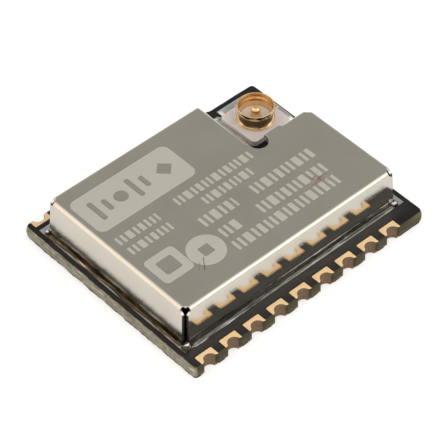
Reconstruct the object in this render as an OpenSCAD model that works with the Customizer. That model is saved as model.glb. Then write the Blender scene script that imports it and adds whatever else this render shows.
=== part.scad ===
// Surface-mount radio module: castellated board, folded shield can with a
// corner notch, and a miniature coaxial aerial connector in the notch.
// Millimetres. The origin is the centre of the underside, +X runs along the
// long edges, +Y towards the edge behind the connector, +Z up.

/* [Board] */
// Length of the board along X
board_l = 15.0; // [14.8:0.1:15.2]
// Width of the board across its two castellated edges
board_w = 12.42; // [12.3:0.01:12.6]
// Thickness of the finished board
board_t = 0.8; // [0.6:0.1:1.2]
// How far the plain stretch of the back edge is set in from the castellated stretch
plain_step = 0.12; // [0.05:0.01:0.2]
// Where the plain stretch of the back edge starts along X
plain_x = 4.4; // [4.3:0.1:4.6]
// Radius of the four board corners in plan
corner_r = 0.16; // [0.1:0.01:0.2]
// Thickness of the copper lands, and of the solder mask that lies flush with them
copper_t = 0.04; // [0.03:0.01:0.05]
// Bare gap between a land and the solder mask around it
mask_gap = 0.04; // [0.03:0.01:0.06]

/* [Edge pads] */
// Distance between neighbouring pads
pitch = 1.5; // [1.48:0.01:1.5]
// Number of pads along the front edge
front_n = 9; // [7:1:9]
// Number of pads along the back edge
back_n = 8; // [6:1:8]
// X of the first front pad
front_x0 = -6.58; // [-6.62:0.01:-6.54]
// X of the first back pad
back_x0 = -6.69; // [-6.72:0.01:-6.64]
// Width of a pad's land along the edge
land_w = 1.01; // [0.96:0.01:1.04]
// Depth of a front land from the edge inwards
front_d = 0.52; // [0.48:0.01:0.54]
// Depth of a back land from the edge inwards
back_d = 0.46; // [0.44:0.01:0.48]
// Radius of the plated half-hole, finished
hole_r = 0.335; // [0.31:0.005:0.35]
// Distance of the half-hole's centre outside the board's edge
hole_out = 0.03; // [0.02:0.01:0.06]
// Thickness of the plating in the half-hole
plate_t = 0.03; // [0.02:0.01:0.04]
// Radius of a land's corners
land_r = 0.07; // [0.04:0.01:0.1]

/* [Shield can] */
// Left face of the can
can_x0 = -6.85; // [-6.9:0.01:-6.8]
// Right face of the can
can_x1 = 6.85; // [6.8:0.01:6.9]
// Front face of the can
can_y0 = -4.81; // [-4.85:0.01:-4.75]
// Back face of the can
can_y1 = 5.12; // [5.05:0.01:5.2]
// Height of the can above the board
can_h = 2.2; // [2.0:0.05:2.4]
// Thickness of the sheet
sheet_t = 0.15; // [0.12:0.01:0.18]
// Outside radius of the folds
fold_r = 0.3; // [0.25:0.01:0.32]
// X of the notch's side wall
notch_x = 2.9; // [2.8:0.01:3.0]
// Y of the notch's front wall
notch_y = 1.32; // [1.25:0.01:1.4]
// Radius of the blanked relief at an outer corner
keyhole_r = 0.36; // [0.34:0.01:0.38]
// Radius of the relief hole at the notch's inner corner
relief_r = 0.52; // [0.48:0.01:0.54]
// X where the notch's front flange starts
flange_x = 4.95; // [4.9:0.05:5.2]

/* [Solder] */
// How far the shield's solder reaches out from the wall
bead_w = 0.33; // [0.28:0.01:0.34]
// How high the shield's solder climbs the wall
bead_h = 0.2; // [0.12:0.01:0.26]
// Thickness of the solder under the parts
joint_t = 0.04; // [0.03:0.01:0.06]

/* [Aerial connector] */
// X of the connector's axis
cx = 5.68; // [5.66:0.01:5.7]
// Y of the connector's axis
cy = 3.865; // [3.85:0.005:3.88]
// Side of the square housing
hous_w = 2.6; // [2.5:0.05:2.6]
// Height of the housing above the board
hous_h = 0.35; // [0.32:0.01:0.38]
// Radius of the contact ring at its rim
rim_r = 0.96; // [0.94:0.01:0.98]
// Radius of the contact ring at its neck
neck_r = 0.86; // [0.84:0.01:0.88]
// Height of the contact ring above the board
ring_h = 1.25; // [1.2:0.01:1.3]
// Radius of the centre contact
pin_r = 0.25; // [0.22:0.01:0.26]
// Height of the centre contact above the board
pin_h = 1.1; // [1.05:0.01:1.15]

/* [Radio processor] */
// Side of the square package
proc_w = 5.0; // [4.8:0.1:5.0]
// Height of the package
proc_h = 0.82; // [0.75:0.01:0.9]
// Centre of the package along X
proc_x = -2.6; // [-2.65:0.05:-2.55]
// Centre of the package along Y
proc_y = 0.9; // [0.85:0.05:0.95]

/* [Transmit amplifier] */
// Side of the square package
amp_w = 3.0; // [2.8:0.1:3.0]
// Height of the package
amp_h = 0.75; // [0.7:0.01:0.8]
// Centre of the package along X
amp_x = 2.7; // [2.65:0.05:2.75]
// Centre of the package along Y
amp_y = -1.8; // [-1.85:0.05:-1.75]

/* [Crystal] */
// Length of the crystal
xtal_l = 2.5; // [2.4:0.1:2.5]
// Width of the crystal
xtal_w = 2.0; // [1.9:0.1:2.0]
// Centre of the crystal along X
xtal_x = -3.9; // [-3.95:0.05:-3.85]
// Centre of the crystal along Y
xtal_y = -3.2; // [-3.25:0.05:-3.15]

/* [Hidden] */
$fn = 48;
e = 0.01;
hl = board_l/2;
hw = board_w/2;
back_y = hw - plain_step;
zt = board_t;                       // top of the lands and mask
zl = board_t - copper_t;            // top of the laminate
zc = board_t + can_h;               // top of the can
zi = zc - sheet_t;                  // ceiling inside the can
fi = fold_r - sheet_t;              // inside radius of the folds
zp = zt + joint_t;                  // underside of the soldered parts
track_o = bead_w + 0.03;            // ground track outside the wall's face
track_i = sheet_t + 0.2;            // ground track inside the wall's face
gap_x0 = 3.5;                       // break in the ground track for the aerial line
gap_x1 = 4.5;
floor_h = 0.5;                      // moulded floor inside the contact ring, above the board

// Capacitors: x, y, turn
caps = [[-5.95,3.1,90],[-5.95,1.6,90],[-5.95,0.1,90],[-5.95,-1.4,90],[-1.9,4.2,0],[-3.5,4.2,0],
        [0.6,2.6,90],[0.6,1.1,90],[0.6,-0.4,90],[4.9,-2.7,90],[4.9,-1.2,90],[2.1,-3.9,0]];
// Resistors: x, y, turn
ress = [[-5.2,4.2,0],[-1.35,-2.5,0],[-1.35,-3.4,0],[0.15,-2.5,0],[0.15,-3.4,0],[3.7,-3.9,0]];
// Coils of the amplifier's supply and of the aerial match: x, y, turn
coils = [[1.5,2.6,90],[1.5,1.0,90],[3.2,0.45,0],[5.9,-0.2,90],[5.5,-3.9,0]];
chip_l = 1.0;
chip_w = 0.5;
cap_h = 0.5;
res_h = 0.35;
coil_h = 0.45;
end_l = 0.22;

function front_x(i) = front_x0 + pitch*i;
function back_x(i) = back_x0 + pitch*i;

// Rectangle from (x0, y0) to (x1, y1) with round corners
module rr(x0, y0, x1, y1, r) {
    translate([x0 + r, y0]) square([x1 - x0 - 2*r, y1 - y0]);
    translate([x0, y0 + r]) square([x1 - x0, y1 - y0 - 2*r]);
    for (x = [x0 + r, x1 - r], y = [y0 + r, y1 - r]) translate([x, y]) circle(r);
}
module slab(z0, z1) { translate([0, 0, z0]) linear_extrude(z1 - z0) children(); }
module box(x0, y0, z0, x1, y1, z1) { translate([x0, y0, z0]) cube([x1 - x0, y1 - y0, z1 - z0]); }

// Plan of the board before the half-holes are drilled
module board_plan() {
    difference() {
        rr(-hl, -hw, hl, hw, corner_r);
        translate([plain_x, back_y]) square([board_l, 1]);
    }
}
module holes_plan(r) {
    for (i = [0:front_n - 1]) translate([front_x(i), -hw - hole_out]) circle(r);
    for (i = [0:back_n - 1]) translate([back_x(i), hw + hole_out]) circle(r);
}
// Land of one pad; s is -1 on the front edge and 1 on the back edge, g widens it
module land_plan(x, s, d, g) {
    intersection() {
        rr(x - land_w/2 - g, s > 0 ? hw - d - g : -hw - 1, x + land_w/2 + g, s > 0 ? hw + 1 : -hw + d + g, land_r);
        translate([-hl, -hw]) square([board_l, board_w]);
    }
}
module lands_plan(g) {
    for (i = [0:front_n - 1]) land_plan(front_x(i), -1, front_d, g);
    for (i = [0:back_n - 1]) land_plan(back_x(i), 1, back_d, g);
}

// Plan of the can, o outside its faces (negative is inside)
module can_plan(o) {
    translate([can_x0 - o, can_y0 - o]) square([notch_x - can_x0 + 2*o, can_y1 - can_y0 + 2*o]);
    translate([can_x0 - o, can_y0 - o]) square([can_x1 - can_x0 + 2*o, notch_y - can_y0 + 2*o]);
}
module track_plan(g) {
    difference() {
        can_plan(track_o + g);
        can_plan(-track_i - g);
        translate([gap_x0 + g, notch_y - 1]) square([gap_x1 - gap_x0 - 2*g, 3]);
    }
}
module conn_lands_plan(g) {
    rr(cx + 1.02 - g, cy - 1.1 - g, cx + 1.7 + g, cy + 1.1 + g, land_r);
    rr(cx - 1.7 - g, cy - 1.1 - g, cx - 1.02 + g, cy + 1.56 + g, land_r);
    rr(cx - 0.93 - g, cy + 1.2 - g, cx + 0.93 + g, cy + 1.94 + g, land_r);
    rr(cx - 0.5 - g, cy - 1.9 - g, cx + 0.5 + g, cy - 1.12 + g, land_r);
}
// Side contacts of a leadless package: n along each side, w wide, l long, p apart
module contacts_plan(x, y, side, n, w, l, p) {
    for (a = [0:90:270]) translate([x, y]) rotate(a)
        for (i = [0:n - 1]) translate([(i - (n - 1)/2)*p - w/2, -side/2]) square([w, l]);
}
module chip_lands_plan(list, g) {
    for (c = list) translate([c[0], c[1]]) rotate(c[2]) for (s = [-1, 1])
        translate([s*(chip_l/2 - 0.08) - 0.26 - g, -chip_w/2 - 0.03 - g]) square([0.52 + 2*g, chip_w + 0.06 + 2*g]);
}
module comp_lands_plan(g) {
    contacts_plan(proc_x, proc_y, proc_w + 0.5 + 2*g, 8, 0.28 + 2*g, 0.62 + 2*g, 0.5);
    translate([proc_x - 1.65 - g, proc_y - 1.65 - g]) square(3.3 + 2*g);
    contacts_plan(amp_x, amp_y, amp_w + 0.4 + 2*g, 4, 0.28 + 2*g, 0.52 + 2*g, 0.5);
    translate([amp_x - 0.85 - g, amp_y - 0.85 - g]) square(1.7 + 2*g);
    for (s = [-1, 1], t = [-1, 1])
        translate([xtal_x + s*0.85 - 0.55 - g, xtal_y + t*0.65 - 0.45 - g]) square([1.1 + 2*g, 0.9 + 2*g]);
    chip_lands_plan(caps, g);
    chip_lands_plan(ress, g);
    chip_lands_plan(coils, g);
}
module bottom_plan(g) {
    rr(-2.4 - g, -1.9 - g, 2.4 + g, 1.9 + g, 0.2);
    for (x = [-5.6, -4.4, 4.4, 5.6]) translate([x, 3.2]) circle(0.45 + g);
}

module circuit_board() {
    color([0.62, 0.6, 0.5]) slab(copper_t, zl) difference() {
        board_plan();
        holes_plan(hole_r + plate_t);
    }
}
module top_solder_mask() {
    color([0.1, 0.1, 0.11]) slab(zl, zt) difference() {
        board_plan();
        holes_plan(hole_r + plate_t);
        lands_plan(mask_gap);
        track_plan(mask_gap);
        conn_lands_plan(mask_gap);
        comp_lands_plan(mask_gap);
    }
}
module bottom_solder_mask() {
    color([0.1, 0.1, 0.11]) slab(0, copper_t) difference() {
        board_plan();
        holes_plan(hole_r + plate_t);
        lands_plan(mask_gap);
        bottom_plan(mask_gap);
    }
}
// One castellated pad: upper land, lower land and the plated half-barrel between
module edge_pad(x, s, d) {
    difference() {
        union() {
            slab(zl, zt) land_plan(x, s, d, 0);
            slab(0, copper_t) land_plan(x, s, d, 0);
            slab(0, zt) intersection() {
                translate([x, s*(hw + hole_out)]) circle(hole_r + plate_t);
                translate([-hl, -hw]) square([board_l, board_w]);
            }
        }
        translate([x, s*(hw + hole_out), -1]) cylinder(r = hole_r, h = board_t + 2);
    }
}
module front_edge_pads() { color([0.88, 0.74, 0.55]) for (i = [0:front_n - 1]) edge_pad(front_x(i), -1, front_d); }
module back_edge_pads() { color([0.88, 0.74, 0.55]) for (i = [0:back_n - 1]) edge_pad(back_x(i), 1, back_d); }
module shield_ground_track() { color([0.72, 0.7, 0.66]) slab(zl, zt) track_plan(0); }

// Block with its four upper edges rounded to r, between two corners in plan
module fold_block(x0, y0, x1, y1, z, r) {
    intersection() {
        translate([x1, 0, 0]) rotate([90, 0, -90]) linear_extrude(x1 - x0) top_round(-y1, -y0, z, r);
        translate([0, y1, 0]) rotate([90, 0, 0]) linear_extrude(y1 - y0) top_round(x0, x1, z, r);
    }
}
module top_round(a, b, z, r) {
    translate([a, zt]) square([b - a, z - zt - r]);
    translate([a + r, zt]) square([b - a - 2*r, z - zt]);
    translate([a + r, z - r]) circle(r);
    translate([b - r, z - r]) circle(r);
}
module can_block(o, z, r) {
    fold_block(can_x0 + o, can_y0 + o, notch_x - o, can_y1 - o, z, r);
    fold_block(can_x0 + o, can_y0 + o, can_x1 - o, notch_y - o, z, r);
}
// The open vertical slit at an outer corner, and the blanked relief at its top
module corner_slit(x, y, sx, sy) {
    w = sheet_t + 0.035;
    translate([sx > 0 ? x - w : x - 1, sy > 0 ? y - w : y - 1, zt - 1]) cube([1 + w, 1 + w, can_h + 1 - fold_r]);
}
module corner_relief(x, y, sx, sy, r) {
    translate([x - sx*0.13, y - sy*0.13, zc - 0.2]) sphere(r);
}
module shield_can() {
    color([0.66, 0.64, 0.6]) difference() {
        union() {
            difference() {
                can_block(0, zc, fold_r);
                can_block(sheet_t, zi, fi);
                // below the ceiling the inside is open down to the board
                slab(zt - 1, zt + 0.5) can_plan(-sheet_t);
                // no flange beside the notch's inner corner
                box(notch_x - sheet_t - e, notch_y - fold_r, zt - 1, flange_x, notch_y + e, zc + 1);
            }
            box(notch_x - fold_r - e, notch_y - fold_r - e, zi, flange_x + e, notch_y - 0.03, zc);
        }
        translate([notch_x + 0.43, notch_y - 0.16, zc - 0.5]) cylinder(r = relief_r, h = 1);
        corner_slit(can_x0, can_y0, -1, -1);
        corner_relief(can_x0, can_y0, -1, -1, keyhole_r);
        corner_slit(can_x1, can_y0, 1, -1);
        corner_relief(can_x1, can_y0, 1, -1, keyhole_r);
        corner_slit(can_x0, can_y1, -1, 1);
        corner_relief(can_x0, can_y1, -1, 1, keyhole_r);
        corner_slit(can_x1, notch_y, 1, 1);
        corner_relief(can_x1, notch_y, 1, 1, keyhole_r + 0.05);
        // plain slit at the notch's far corner
        box(notch_x - sheet_t - 0.03, can_y1 - sheet_t - 0.03, zt - 1, notch_x + 1, can_y1 + 1, zc - fold_r);
    }
}
// Solder run with a hollow face: along +X, its back on y = 0 and its foot on z = 0
module bead(len) {
    rotate([90, 0, 90]) linear_extrude(len) difference() {
        polygon([[0, 0], [-bead_w, 0], [-bead_w, 0.03], [-0.05, bead_h], [0, bead_h]]);
        translate([-bead_w - 0.02, bead_h + 0.18]) circle(0.26);
    }
}
module shield_solder() {
    w = sheet_t + 0.035;
    color([0.62, 0.61, 0.6]) {
        translate([can_x0 + w, can_y0, zt]) bead(can_x1 - can_x0 - 2*w);
        translate([can_x0, can_y1 - w, zt]) rotate(-90) bead(can_y1 - can_y0 - 2*w);
        translate([notch_x - w, can_y1, zt]) rotate(180) bead(notch_x - can_x0 - 2*w);
        translate([can_x1, can_y0 + w, zt]) rotate(90) bead(notch_y - can_y0 - 2*w);
        translate([notch_x, notch_y + 0.2, zt]) rotate(90) bead(can_y1 - notch_y - 0.2 - w);
        translate([can_x1 - w, notch_y, zt]) rotate(180) bead(can_x1 - flange_x - w - 0.02);
    }
}

module connector_housing() {
    h = hous_w/2;
    color([0.88, 0.85, 0.82]) difference() {
        union() {
            slab(zt, zt + hous_h) rr(cx - h, cy - h, cx + h, cy + h, 0.22);
            translate([cx, cy, zt]) cylinder(r = neck_r - 0.07, h = floor_h);
        }
        connector_pin_solid();
        connector_shell_solid();
    }
}
// Contact ring turned about the axis, with its two straps and three feet
module connector_shell_solid() {
    ir = neck_r - 0.07;
    translate([cx, cy, zt]) rotate_extrude() {
        // wall with its waisted neck and the rim that the plug snaps over
        polygon([[ir, hous_h], [neck_r + 0.07, hous_h], [neck_r + 0.07, hous_h + 0.07], [neck_r + 0.02, hous_h + 0.15],
                 [neck_r + 0.002, hous_h + 0.27], [neck_r - 0.002, hous_h + 0.39], [neck_r + 0.008, ring_h - 0.39],
                 [neck_r + 0.025, ring_h - 0.3], [rim_r, ring_h - 0.26], [rim_r, ring_h - 0.06], [neck_r - 0.03, ring_h - 0.06],
                 [ir, ring_h - 0.1]]);
        translate([rim_r - 0.06, ring_h - 0.06]) circle(0.06);
        translate([neck_r - 0.03, ring_h - 0.08]) square([rim_r - neck_r - 0.03, 0.08]);
        // flange that lies on the housing
        translate([ir, hous_h]) square([0.175, 0.07]);
        translate([ir + 0.175, hous_h + 0.035]) circle(0.035);
    }
    h = hous_w/2;
    // right-hand strap, over the housing and down to its foot
    box(cx + 0.94, cy - 0.22, zt + hous_h, cx + h + 0.07, cy + 0.22, zt + hous_h + 0.07);
    box(cx + h, cy - 0.22, zt + joint_t, cx + h + 0.07, cy + 0.22, zt + hous_h + 0.07);
    box(cx + h, cy - 0.9, zt + joint_t, cx + h + 0.24, cy + 0.9, zt + joint_t + 0.1);
    // left-hand strap, moulded in under the flange, and its foot
    box(cx - 0.95, cy - 0.22, zt + joint_t, cx - 0.85, cy + 0.22, zt + hous_h + 0.02);
    box(cx - h - 0.24, cy - 0.22, zt + joint_t, cx - 0.85, cy + 0.22, zt + joint_t + 0.1);
    box(cx - h - 0.24, cy - 0.9, zt + joint_t, cx - h, cy + 0.9, zt + joint_t + 0.1);
    box(cx - 0.22, cy + 0.94, zt + hous_h, cx + 0.22, cy + h + 0.07, zt + hous_h + 0.07);
    box(cx - 0.22, cy + h, zt + joint_t, cx + 0.22, cy + h + 0.07, zt + hous_h + 0.07);
    box(cx - 0.8, cy + h, zt + joint_t, cx + 0.8, cy + h + 0.24, zt + joint_t + 0.1);
}
module connector_shell() { color([0.83, 0.64, 0.36]) connector_shell_solid(); }
module connector_pin_solid() {
    translate([cx, cy, zt + floor_h]) cylinder(r = pin_r, h = pin_h - floor_h - 0.12);
    translate([cx, cy, zt + pin_h - 0.12]) rotate_extrude() intersection() {
        union() { square([pin_r - 0.12, 0.12]); translate([pin_r - 0.12, 0]) circle(0.12); }
        square([1, 1]);
    }
    box(cx - 0.2, cy - hous_w/2 - 0.24, zt + joint_t, cx + 0.2, cy + 0.1, zt + joint_t + 0.1);
    box(cx - 0.15, cy - 0.15, zt + joint_t, cx + 0.15, cy + 0.15, zt + floor_h);
    box(cx - 0.3, cy - hous_w/2 - 0.24, zt + joint_t, cx + 0.3, cy - hous_w/2, zt + joint_t + 0.1);
}
module connector_pin() { color([0.85, 0.66, 0.36]) connector_pin_solid(); }
module connector_lands() { color([0.88, 0.74, 0.55]) slab(zl, zt) conn_lands_plan(0); }
// Solder under and around the connector's feet
module connector_solder() {
    h = hous_w/2;
    color([0.7, 0.7, 0.7]) difference() {
        union() {
            box(cx + h, cy - 1.05, zt, cx + h + 0.36, cy + 1.05, zt + 0.1);
            box(cx - h - 0.36, cy - 1.05, zt, cx - h, cy + 1.5, zt + 0.1);
            box(cx - 0.88, cy + h, zt, cx + 0.88, cy + h + 0.58, zt + 0.1);
            box(cx - 0.46, cy - h - 0.56, zt, cx + 0.46, cy - h, zt + 0.1);
        }
        connector_shell_solid();
        connector_pin_solid();
    }
}

// Side contacts and heat paddle of a leadless package, 0.2 thick
module package_contacts(x, y, w, n, pad) {
    slab(zp, zp + 0.2) {
        contacts_plan(x, y, w, n, 0.25, 0.4, 0.5);
        translate([x - pad/2, y - pad/2]) square(pad);
    }
}
module package_body(x, y, w, n, pad, h) {
    difference() {
        box(x - w/2, y - w/2, zp, x + w/2, y + w/2, zp + h);
        package_contacts(x, y, w, n, pad);
        // dimple that marks the first contact
        translate([x - w/2 + 0.5, y - w/2 + 0.5, zp + h - 0.04]) cylinder(r = 0.18, h = 1);
    }
}
module processor_body() { color([0.13, 0.13, 0.14]) package_body(proc_x, proc_y, proc_w, 8, 3.3, proc_h); }
module processor_contacts() { color([0.75, 0.74, 0.72]) package_contacts(proc_x, proc_y, proc_w, 8, 3.3); }
module amplifier_body() { color([0.13, 0.13, 0.14]) package_body(amp_x, amp_y, amp_w, 4, 1.7, amp_h); }
module amplifier_contacts() { color([0.75, 0.74, 0.72]) package_contacts(amp_x, amp_y, amp_w, 4, 1.7); }
module crystal_base() {
    color([0.2, 0.19, 0.2]) slab(zp, zp + 0.45)
        rr(xtal_x - xtal_l/2, xtal_y - xtal_w/2, xtal_x + xtal_l/2, xtal_y + xtal_w/2, 0.15);
}
module crystal_lid() {
    color([0.78, 0.76, 0.7]) slab(zp + 0.45, zp + 0.7)
        rr(xtal_x - xtal_l/2 + 0.15, xtal_y - xtal_w/2 + 0.15, xtal_x + xtal_l/2 - 0.15, xtal_y + xtal_w/2 - 0.15, 0.2);
}
// Bodies and wrapped end caps of the chip parts
module chip_bodies(list, h) {
    for (c = list) translate([c[0], c[1], zp]) rotate(c[2])
        box(-chip_l/2 + 0.02, -chip_w/2 + 0.02, 0.02, chip_l/2 - 0.02, chip_w/2 - 0.02, h - 0.02);
}
module chip_ends(list, h) {
    for (c = list) translate([c[0], c[1], zp]) rotate(c[2]) for (s = [0, 180]) rotate(s) difference() {
        box(chip_l/2 - end_l, -chip_w/2, 0, chip_l/2, chip_w/2, h);
        box(0, -chip_w/2 + 0.02, 0.02, chip_l/2 - 0.02, chip_w/2 - 0.02, h - 0.02);
    }
}
module capacitor_bodies() { color([0.66, 0.54, 0.42]) chip_bodies(caps, cap_h); }
module capacitor_ends() { color([0.78, 0.77, 0.75]) chip_ends(caps, cap_h); }
module resistor_bodies() { color([0.12, 0.12, 0.13]) chip_bodies(ress, res_h); }
module resistor_ends() { color([0.78, 0.77, 0.75]) chip_ends(ress, res_h); }
module coil_bodies() { color([0.55, 0.62, 0.7]) chip_bodies(coils, coil_h); }
module coil_ends() { color([0.78, 0.77, 0.75]) chip_ends(coils, coil_h); }
module component_lands() { color([0.88, 0.74, 0.55]) slab(zl, zt) comp_lands_plan(0); }
module component_solder() { color([0.7, 0.7, 0.7]) slab(zt, zp) comp_lands_plan(-0.02); }
module bottom_lands() { color([0.88, 0.74, 0.55]) slab(0, copper_t) bottom_plan(0); }

circuit_board();
top_solder_mask();
bottom_solder_mask();
front_edge_pads();
back_edge_pads();
shield_ground_track();
shield_can();
shield_solder();
connector_housing();
connector_shell();
connector_pin();
connector_lands();
connector_solder();
processor_body();
processor_contacts();
amplifier_body();
amplifier_contacts();
crystal_base();
crystal_lid();
capacitor_bodies();
capacitor_ends();
resistor_bodies();
resistor_ends();
coil_bodies();
coil_ends();
component_lands();
component_solder();
bottom_lands();
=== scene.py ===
import bpy, math, random
import numpy as np
from mathutils import Vector, Matrix, noise
from mathutils.geometry import delaunay_2d_cdt


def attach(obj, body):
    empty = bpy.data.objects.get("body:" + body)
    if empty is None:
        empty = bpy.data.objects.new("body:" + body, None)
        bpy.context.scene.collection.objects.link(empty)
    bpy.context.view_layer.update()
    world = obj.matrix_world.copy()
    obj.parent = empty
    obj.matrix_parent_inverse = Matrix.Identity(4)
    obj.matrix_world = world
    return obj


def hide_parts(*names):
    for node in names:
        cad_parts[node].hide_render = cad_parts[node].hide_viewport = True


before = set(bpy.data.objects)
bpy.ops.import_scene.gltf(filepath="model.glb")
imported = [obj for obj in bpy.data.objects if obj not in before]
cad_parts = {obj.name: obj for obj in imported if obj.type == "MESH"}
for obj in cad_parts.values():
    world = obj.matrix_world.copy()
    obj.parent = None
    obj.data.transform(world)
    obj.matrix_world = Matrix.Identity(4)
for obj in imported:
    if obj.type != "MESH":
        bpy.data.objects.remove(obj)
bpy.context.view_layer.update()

MM = 0.001
rnd = random.Random(7)
TAU = 2 * math.pi

# ---------------------------------------------------------------- dimensions, mm
HL, HW, BACK_Y, PLAIN_X = 7.5, 6.21, 6.09, 4.4
ZT, ZL, CU = 0.8, 0.76, 0.04
HOLE_R, HOLE_OUT, LAND_W, FRONT_D, BACK_D = 0.335, 0.03, 1.01, 0.52, 0.46
FX = [-6.58 + 1.5 * i for i in range(9)]
BX = [-6.69 + 1.5 * i for i in range(8)]
SHEET, FOLD = 0.15, 0.3
LEAN = math.radians(86.3)  # the walls spring back a little from square
ARC = FOLD * LEAN
FLANGE = ARC + (2.2 - FOLD * (1 - math.cos(LEAN))) / math.sin(LEAN)
FOOT = FOLD * math.sin(LEAN) + (FLANGE - ARC) * math.cos(LEAN) - FOLD  # how far the foot stands out from the square wall
CX, CY = 5.68, 3.865


# ---------------------------------------------------------------- materials
class Mat:
    """A node material whose patterns are in object space, in millimetres."""

    def __init__(self, name, base=(0.5, 0.5, 0.5), rough=0.4, metal=0.0):
        self.m = bpy.data.materials.new(name)
        self.m.use_nodes = True
        self.nt = self.m.node_tree
        self.b = self.nt.nodes["Principled BSDF"]
        self.b.inputs["Base Color"].default_value = (*base, 1)
        self.b.inputs["Roughness"].default_value = rough
        self.b.inputs["Metallic"].default_value = metal
        tc = self.nt.nodes.new("ShaderNodeTexCoord")
        mp = self.nt.nodes.new("ShaderNodeMapping")
        mp.inputs["Scale"].default_value = (1000, 1000, 1000)
        self.nt.links.new(tc.outputs["Object"], mp.inputs["Vector"])
        self.co = mp.outputs["Vector"]
        self.n = None

    def node(self, kind, **inputs):
        n = self.nt.nodes.new(kind)
        for k, v in inputs.items():
            self.put(n.inputs[k.replace("_", " ")], v)
        return n

    def put(self, socket, v):
        if isinstance(v, bpy.types.NodeSocket):
            self.nt.links.new(v, socket)
        elif hasattr(v, "__len__") and len(v) == 3 and socket.type == "RGBA":
            socket.default_value = (*v, 1)
        else:
            socket.default_value = v

    def moved(self, scale=(1, 1, 1), loc=(0, 0, 0), rot=(0, 0, 0)):
        mp = self.nt.nodes.new("ShaderNodeMapping")
        mp.inputs["Scale"].default_value = scale
        mp.inputs["Location"].default_value = loc
        mp.inputs["Rotation"].default_value = rot
        self.nt.links.new(self.co, mp.inputs["Vector"])
        return mp.outputs["Vector"]

    def noise(self, scale, detail=3.0, rough=0.55, stretch=(1, 1, 1), dist=0.0, loc=(0, 0, 0)):
        n = self.node("ShaderNodeTexNoise", Scale=scale, Detail=detail, Roughness=rough, Distortion=dist)
        self.nt.links.new(self.moved(stretch, loc), n.inputs["Vector"])
        return n.outputs["Fac"]

    def voronoi(self, scale, feature="F1", stretch=(1, 1, 1)):
        n = self.node("ShaderNodeTexVoronoi", Scale=scale)
        n.feature = feature
        self.nt.links.new(self.moved(stretch), n.inputs["Vector"])
        return n.outputs["Distance"]

    def wave(self, scale, direction="X", dist=0.0, detail=1.0, rot=(0, 0, 0)):
        n = self.node("ShaderNodeTexWave", Scale=scale, Distortion=dist, Detail=detail)
        n.bands_direction = direction
        self.nt.links.new(self.moved(rot=rot), n.inputs["Vector"])
        return n.outputs["Fac"]

    def ramp(self, fac, *stops):
        n = self.nt.nodes.new("ShaderNodeValToRGB")
        self.put(n.inputs["Fac"], fac)
        els = n.color_ramp.elements
        while len(els) < len(stops):
            els.new(0.5)
        for e, (p, c) in zip(els, stops):
            e.position = p
            e.color = (c, c, c, 1) if isinstance(c, (int, float)) else (*c, 1)
        return n.outputs["Color"]

    def mix(self, fac, a, b, mode="MIX"):
        n = self.nt.nodes.new("ShaderNodeMix")
        n.data_type = "RGBA"
        n.blend_type = mode
        self.put(n.inputs[0], fac)
        self.put(n.inputs[6], a)
        self.put(n.inputs[7], b)
        return n.outputs[2]

    def math(self, op, a, b=0.0, clamp=False):
        n = self.nt.nodes.new("ShaderNodeMath")
        n.operation = op
        n.use_clamp = clamp
        self.put(n.inputs[0], a)
        self.put(n.inputs[1], b)
        return n.outputs[0]

    def range(self, v, a, b, c=0.0, d=1.0):
        n = self.nt.nodes.new("ShaderNodeMapRange")
        n.interpolation_type = "SMOOTHSTEP"
        for k, x in zip(range(5), (v, a, b, c, d)):
            self.put(n.inputs[k], x)
        return n.outputs[0]

    def axis(self, i):
        n = self.nt.nodes.new("ShaderNodeSeparateXYZ")
        self.nt.links.new(self.co, n.inputs[0])
        return n.outputs[i]

    def bump(self, height, strength, distance):
        n = self.nt.nodes.new("ShaderNodeBump")
        n.inputs["Strength"].default_value = strength
        n.inputs["Distance"].default_value = distance * MM
        self.put(n.inputs["Height"], height)
        if self.n is not None:
            self.nt.links.new(self.n, n.inputs["Normal"])
        self.n = n.outputs["Normal"]
        self.nt.links.new(self.n, self.b.inputs["Normal"])

    def color(self, v):
        self.put(self.b.inputs["Base Color"], v)
        return self

    def rough(self, v):
        self.put(self.b.inputs["Roughness"], v)
        return self


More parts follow.
